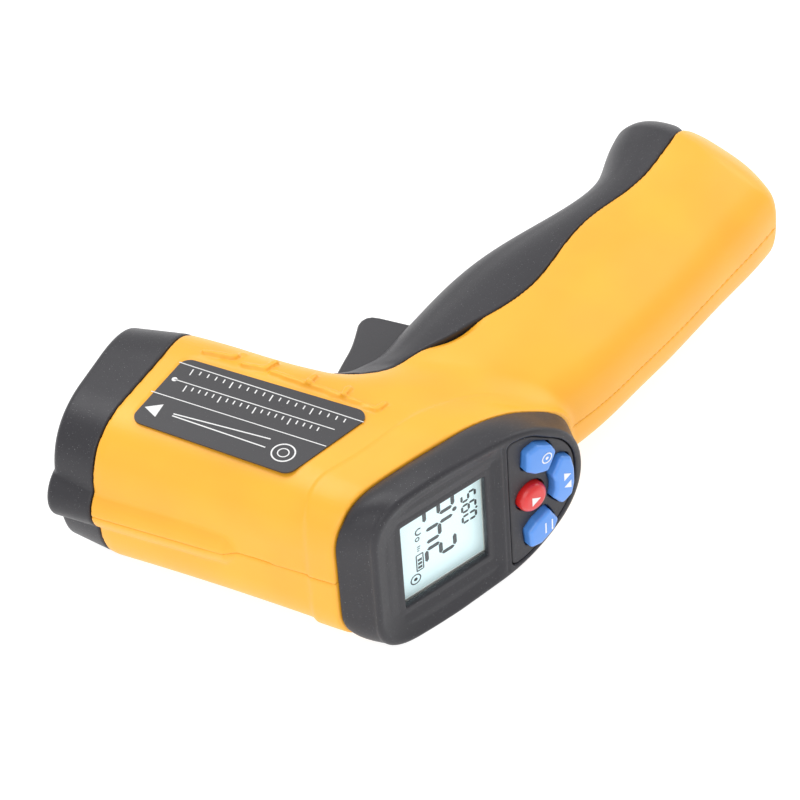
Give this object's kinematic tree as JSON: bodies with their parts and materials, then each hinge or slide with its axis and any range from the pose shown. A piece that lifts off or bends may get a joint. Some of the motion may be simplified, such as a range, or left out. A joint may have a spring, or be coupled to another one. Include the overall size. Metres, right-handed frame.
{
  "type": "infrared thermometer",
  "caption": "Pistol-grip infrared thermometer with a trigger, tilted display, push buttons and a hinged grip cover over the batteries.",
  "frame": {"origin": "under the middle of the bounding box, on the surface that the tool lies on", "axes": "the tool lies on its left side: -X is where the nose aims and +X the display end, +Y runs down the handle to its butt, +Z is the tool's right-hand side"},
  "size_m": [0.1138, 0.1538, 0.0429],
  "materials": {
    "yellow_shell": "satin moulded, fine grain",
    "black_shell": "satin moulded",
    "black_trigger": "satin moulded",
    "label_print": "printed plate",
    "blue_key": "glossy key",
    "red_key": "glossy key",
    "clear_window": "clear",
    "lcd_glass": "reflective liquid crystal",
    "white_plastic": "moulded",
    "grey_rubber": "elastomer",
    "circuit_board": "solder mask",
    "chip_black": "moulded",
    "steel": "machined",
    "brass": "turned",
    "infrared_plastic": "smoked lens",
    "laser_glass": "clear red",
    "nickel": "plated",
    "cell_jacket": "plain wrapper",
    "lead_red_skin": "wire insulation",
    "lead_black_skin": "wire insulation"
  },
  "bodies": {
    "housing": {"right_shell": "yellow_shell", "left_shell": "yellow_shell", "nose_cap": "black_shell", "rear_bezel": "black_shell", "button_panel": "black_shell", "right_label": "label_print", "left_label": "label_print", "display_window": "clear_window", "display_panel": "lcd_glass", "display_backlight": "white_plastic", "display_frame": "white_plastic", "display_connector": "grey_rubber", "main_board": "circuit_board", "sensor_board": "circuit_board", "laser_board": "circuit_board", "board_chips": "chip_black", "buzzer": "chip_black", "key_switches": "chip_black", "trigger_switch": "chip_black", "board_screws": "steel", "housing_screws": "steel", "trigger_pin": "steel", "trigger_spring": "steel", "battery_springs": "nickel", "battery_plates": "nickel", "lens_tube": "chip_black", "infrared_lens": "infrared_plastic", "thermopile": "nickel", "laser_module": "brass", "laser_window": "laser_glass", "battery_tray": "chip_black", "cell_left": "cell_jacket", "cell_right": "cell_jacket", "lead_red": "lead_red_skin", "lead_black": "lead_black_skin"},
    "trigger": {"trigger": "black_trigger"},
    "grip_cover": {"grip_cover": "black_shell", "door_hinge_pin": "steel"},
    "trigger_switch_plunger": {"trigger_switch_plunger": "white_plastic"},
    "button_ems": {"button_ems": "blue_key", "plunger_ems": "white_plastic"},
    "button_set": {"button_set": "blue_key", "plunger_set": "white_plastic"},
    "button_mode": {"button_mode": "red_key", "plunger_mode": "white_plastic"},
    "button_down": {"button_down": "blue_key", "plunger_down": "white_plastic"}
  },
  "joints": [
    {"name": "trigger_pull", "type": "hinge", "parent": "housing", "child": "trigger", "pos_m": [-0.00588, -0.03367, 0.02146], "axis": [0, 0, -1], "range_deg": [0, 7], "stiffness_Nm_per_rad": 0.35, "springref_deg": -8.59, "deforming": ["trigger_spring"]},
    {"name": "trigger_switch_push", "type": "slide", "parent": "housing", "child": "trigger_switch_plunger", "axis": [1, 0, 0], "range_m": [0, 0.00147]},
    {"name": "battery_door", "type": "hinge", "parent": "housing", "child": "grip_cover", "pos_m": [0.02831, 0.07423, 0.02146], "axis": [0, 0, -1], "range_deg": [0, 60]},
    {"name": "button_ems_press", "type": "slide", "parent": "housing", "child": "button_ems", "axis": [-0.8918, 0.4524, 0], "range_m": [0, 0.0008], "stiffness_N_per_m": 400, "springref_m": -0.0006},
    {"name": "button_set_press", "type": "slide", "parent": "housing", "child": "button_set", "axis": [-0.8918, 0.4524, 0], "range_m": [0, 0.0008], "stiffness_N_per_m": 400, "springref_m": -0.0006},
    {"name": "button_mode_press", "type": "slide", "parent": "housing", "child": "button_mode", "axis": [-0.8918, 0.4524, 0], "range_m": [0, 0.0008], "stiffness_N_per_m": 400, "springref_m": -0.0006},
    {"name": "button_down_press", "type": "slide", "parent": "housing", "child": "button_down", "axis": [-0.8918, 0.4524, 0], "range_m": [0, 0.0008], "stiffness_N_per_m": 400, "springref_m": -0.0006}
  ],
  "couplings": [
    {"joint": "trigger_switch_push", "follows": "trigger_pull", "m_per_rad": 0.012}
  ]
}
